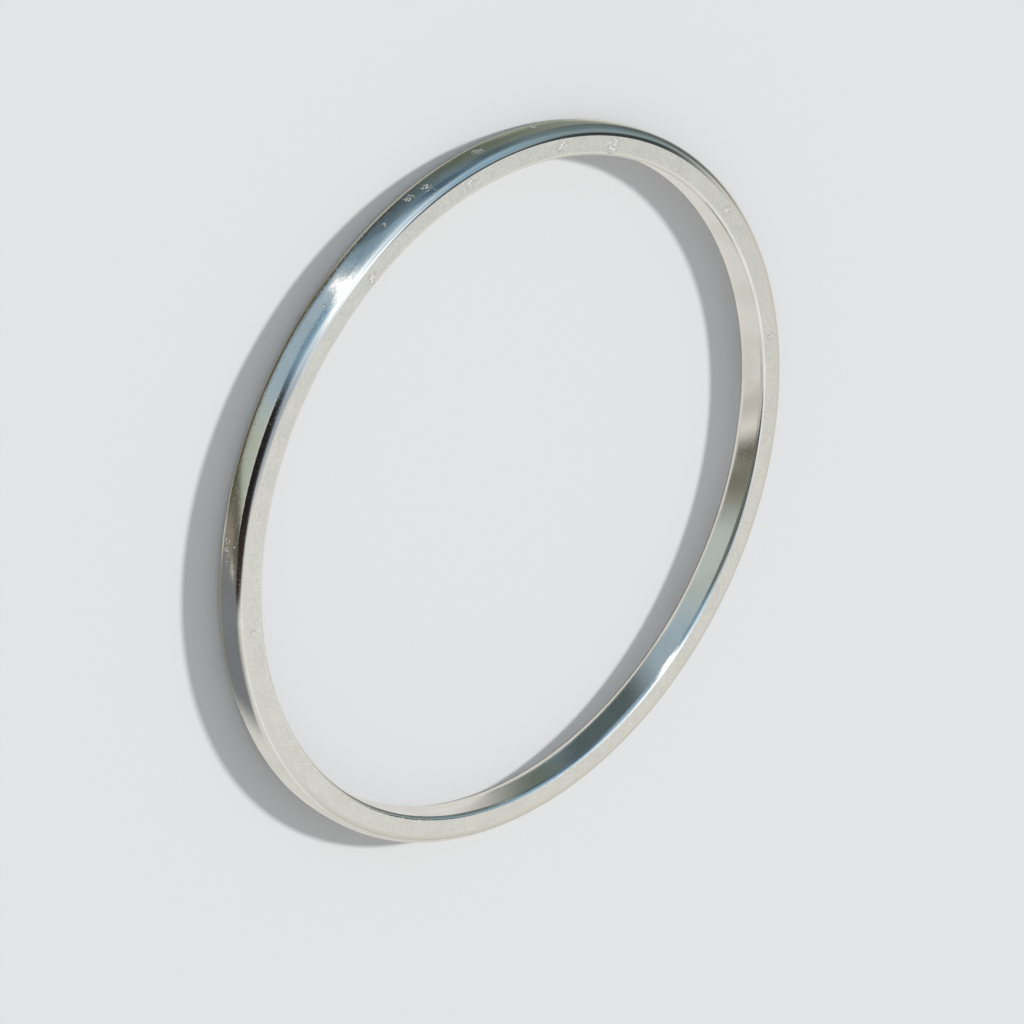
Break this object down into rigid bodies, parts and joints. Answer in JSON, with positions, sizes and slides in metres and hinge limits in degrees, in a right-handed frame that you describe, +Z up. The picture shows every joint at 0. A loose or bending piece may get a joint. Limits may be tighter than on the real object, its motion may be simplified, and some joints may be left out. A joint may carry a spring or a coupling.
{
  "type": "kada bangle",
  "caption": "Plain closed ring bangle with a near-square section, crowned polished outer face, flat satin sides and rounded edges.",
  "frame": {"origin": "centre of the ring, on the surface that its lower side face rests on", "axes": "+Z up along the ring's own axis; X and Y lie across the ring, which is the same all round"},
  "size_m": [0.069, 0.069, 0.003],
  "materials": {
    "silver": "polished sterling silver on the outer and inner faces, satin side faces with a fine concentric grain"
  },
  "bodies": {
    "root": {"bangle": "silver"}
  },
  "joints": []
}
